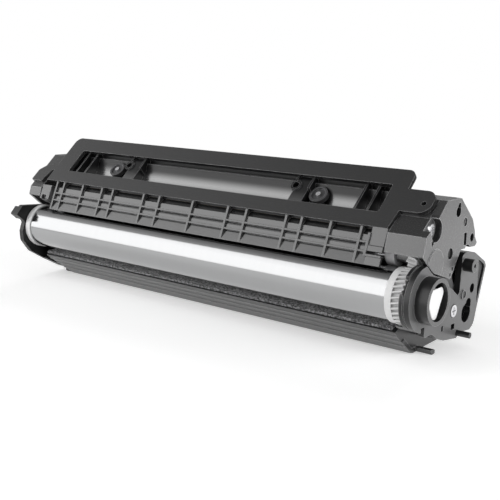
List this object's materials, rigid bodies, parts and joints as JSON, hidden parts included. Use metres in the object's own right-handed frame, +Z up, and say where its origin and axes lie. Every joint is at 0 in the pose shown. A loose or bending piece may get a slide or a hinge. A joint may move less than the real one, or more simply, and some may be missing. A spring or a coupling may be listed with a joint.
{
  "type": "toner cartridge",
  "caption": "Toner cartridge with a glossy drum, white end gear, ribbed front louvre, windowed top frame, waste bin and end plates.",
  "frame": {"origin": "middle of the base, on the surface it stands on", "axes": "+X along the drum towards the drive end, +Y from the drum's open side to the back, +Z up"},
  "size_m": [0.273, 0.0772, 0.0817],
  "materials": {
    "black_moulding": "matte",
    "dark_moulding": "satin",
    "white_moulding": "satin",
    "drum_coating": "gloss",
    "bright_steel": "polished",
    "spring_steel": "satin",
    "zinc_plate": "satin",
    "charge_rubber": "matte",
    "urethane": "satin",
    "clear_film": "gloss",
    "felt": "matte",
    "sleeve_metal": "satin",
    "magnet_bar": "matte",
    "grey_moulding": "satin"
  },
  "bodies": {
    "drum_unit": {"waste_bin": "dark_moulding", "end_plate_right": "grey_moulding", "end_cap_left": "black_moulding", "drum_felt": "felt", "wiper_bracket": "zinc_plate", "wiper_blade": "urethane", "recovery_film": "clear_film", "charge_saddle_left": "white_moulding", "charge_saddle_right": "white_moulding", "charge_spring_left": "spring_steel", "charge_spring_right": "spring_steel", "drum_axle_pin": "bright_steel", "pivot_pin_right": "bright_steel", "pivot_pin_left": "bright_steel", "locating_pin": "bright_steel", "end_plate_screw": "bright_steel", "end_cap_screw": "bright_steel", "pressure_spring_left": "spring_steel", "pressure_spring_right": "spring_steel"},
    "drum": {"drum_tube": "drum_coating", "drum_drive_flange": "white_moulding", "drum_contact_flange": "white_moulding", "drum_earth_plate": "zinc_plate"},
    "charge_roller": {"charge_roller_core": "bright_steel", "charge_roller_rubber": "charge_rubber"},
    "developer_unit": {"toner_tank": "dark_moulding", "fill_plug": "white_moulding", "top_frame": "black_moulding", "window_disc_left": "grey_moulding", "window_disc_right": "grey_moulding", "disc_studs": "bright_steel", "hopper_cap_right": "grey_moulding", "hopper_cap_left": "grey_moulding", "magnet_core": "magnet_bar", "developer_bearing_right": "grey_moulding", "developer_bearing_left": "grey_moulding", "doctor_blade": "urethane", "doctor_bracket": "zinc_plate", "hopper_cap_screw": "bright_steel", "hopper_cap_left_screw": "bright_steel"},
    "developer_roller": {"developer_sleeve": "sleeve_metal", "developer_shaft": "bright_steel", "developer_spacer_right": "grey_moulding", "developer_spacer_left": "grey_moulding", "developer_gear": "white_moulding"},
    "idler": {"idler_gear": "white_moulding"},
    "agitator": {"agitator_gear": "white_moulding", "agitator_shaft": "grey_moulding", "agitator_paddle": "clear_film"}
  },
  "joints": [
    {"name": "drum_spin", "type": "hinge", "parent": "drum_unit", "child": "drum", "pos_m": [-0.0046, -0.02082, 0.031], "axis": [1, 0, 0], "continuous": true},
    {"name": "charge_spin", "type": "hinge", "parent": "drum_unit", "child": "charge_roller", "pos_m": [-0.0046, -0.00428, 0.02808], "axis": [1, 0, 0], "continuous": true},
    {"name": "hopper_pivot", "type": "hinge", "parent": "drum_unit", "child": "developer_unit", "pos_m": [-0.0046, 0.00168, 0.0469], "axis": [-1, 0, 0], "range_deg": [0, 3], "stiffness_Nm_per_rad": 2, "springref_deg": -5.73, "deforming": ["pressure_spring_left", "pressure_spring_right"]},
    {"name": "developer_spin", "type": "hinge", "parent": "developer_unit", "child": "developer_roller", "pos_m": [-0.0046, -0.01459, 0.04814], "axis": [1, 0, 0], "continuous": true},
    {"name": "idler_spin", "type": "hinge", "parent": "developer_unit", "child": "idler", "pos_m": [-0.0046, -0.0056, 0.04244], "axis": [1, 0, 0], "continuous": true},
    {"name": "agitator_spin", "type": "hinge", "parent": "developer_unit", "child": "agitator", "pos_m": [-0.0046, 0.00368, 0.0525], "axis": [1, 0, 0], "continuous": true}
  ],
  "couplings": [
    {"joint": "charge_spin", "follows": "drum_spin", "ratio": -2.6667},
    {"joint": "developer_spin", "follows": "drum_spin", "ratio": -2},
    {"joint": "idler_spin", "follows": "drum_spin", "ratio": 2.6667},
    {"joint": "agitator_spin", "follows": "drum_spin", "ratio": -1.3333}
  ]
}
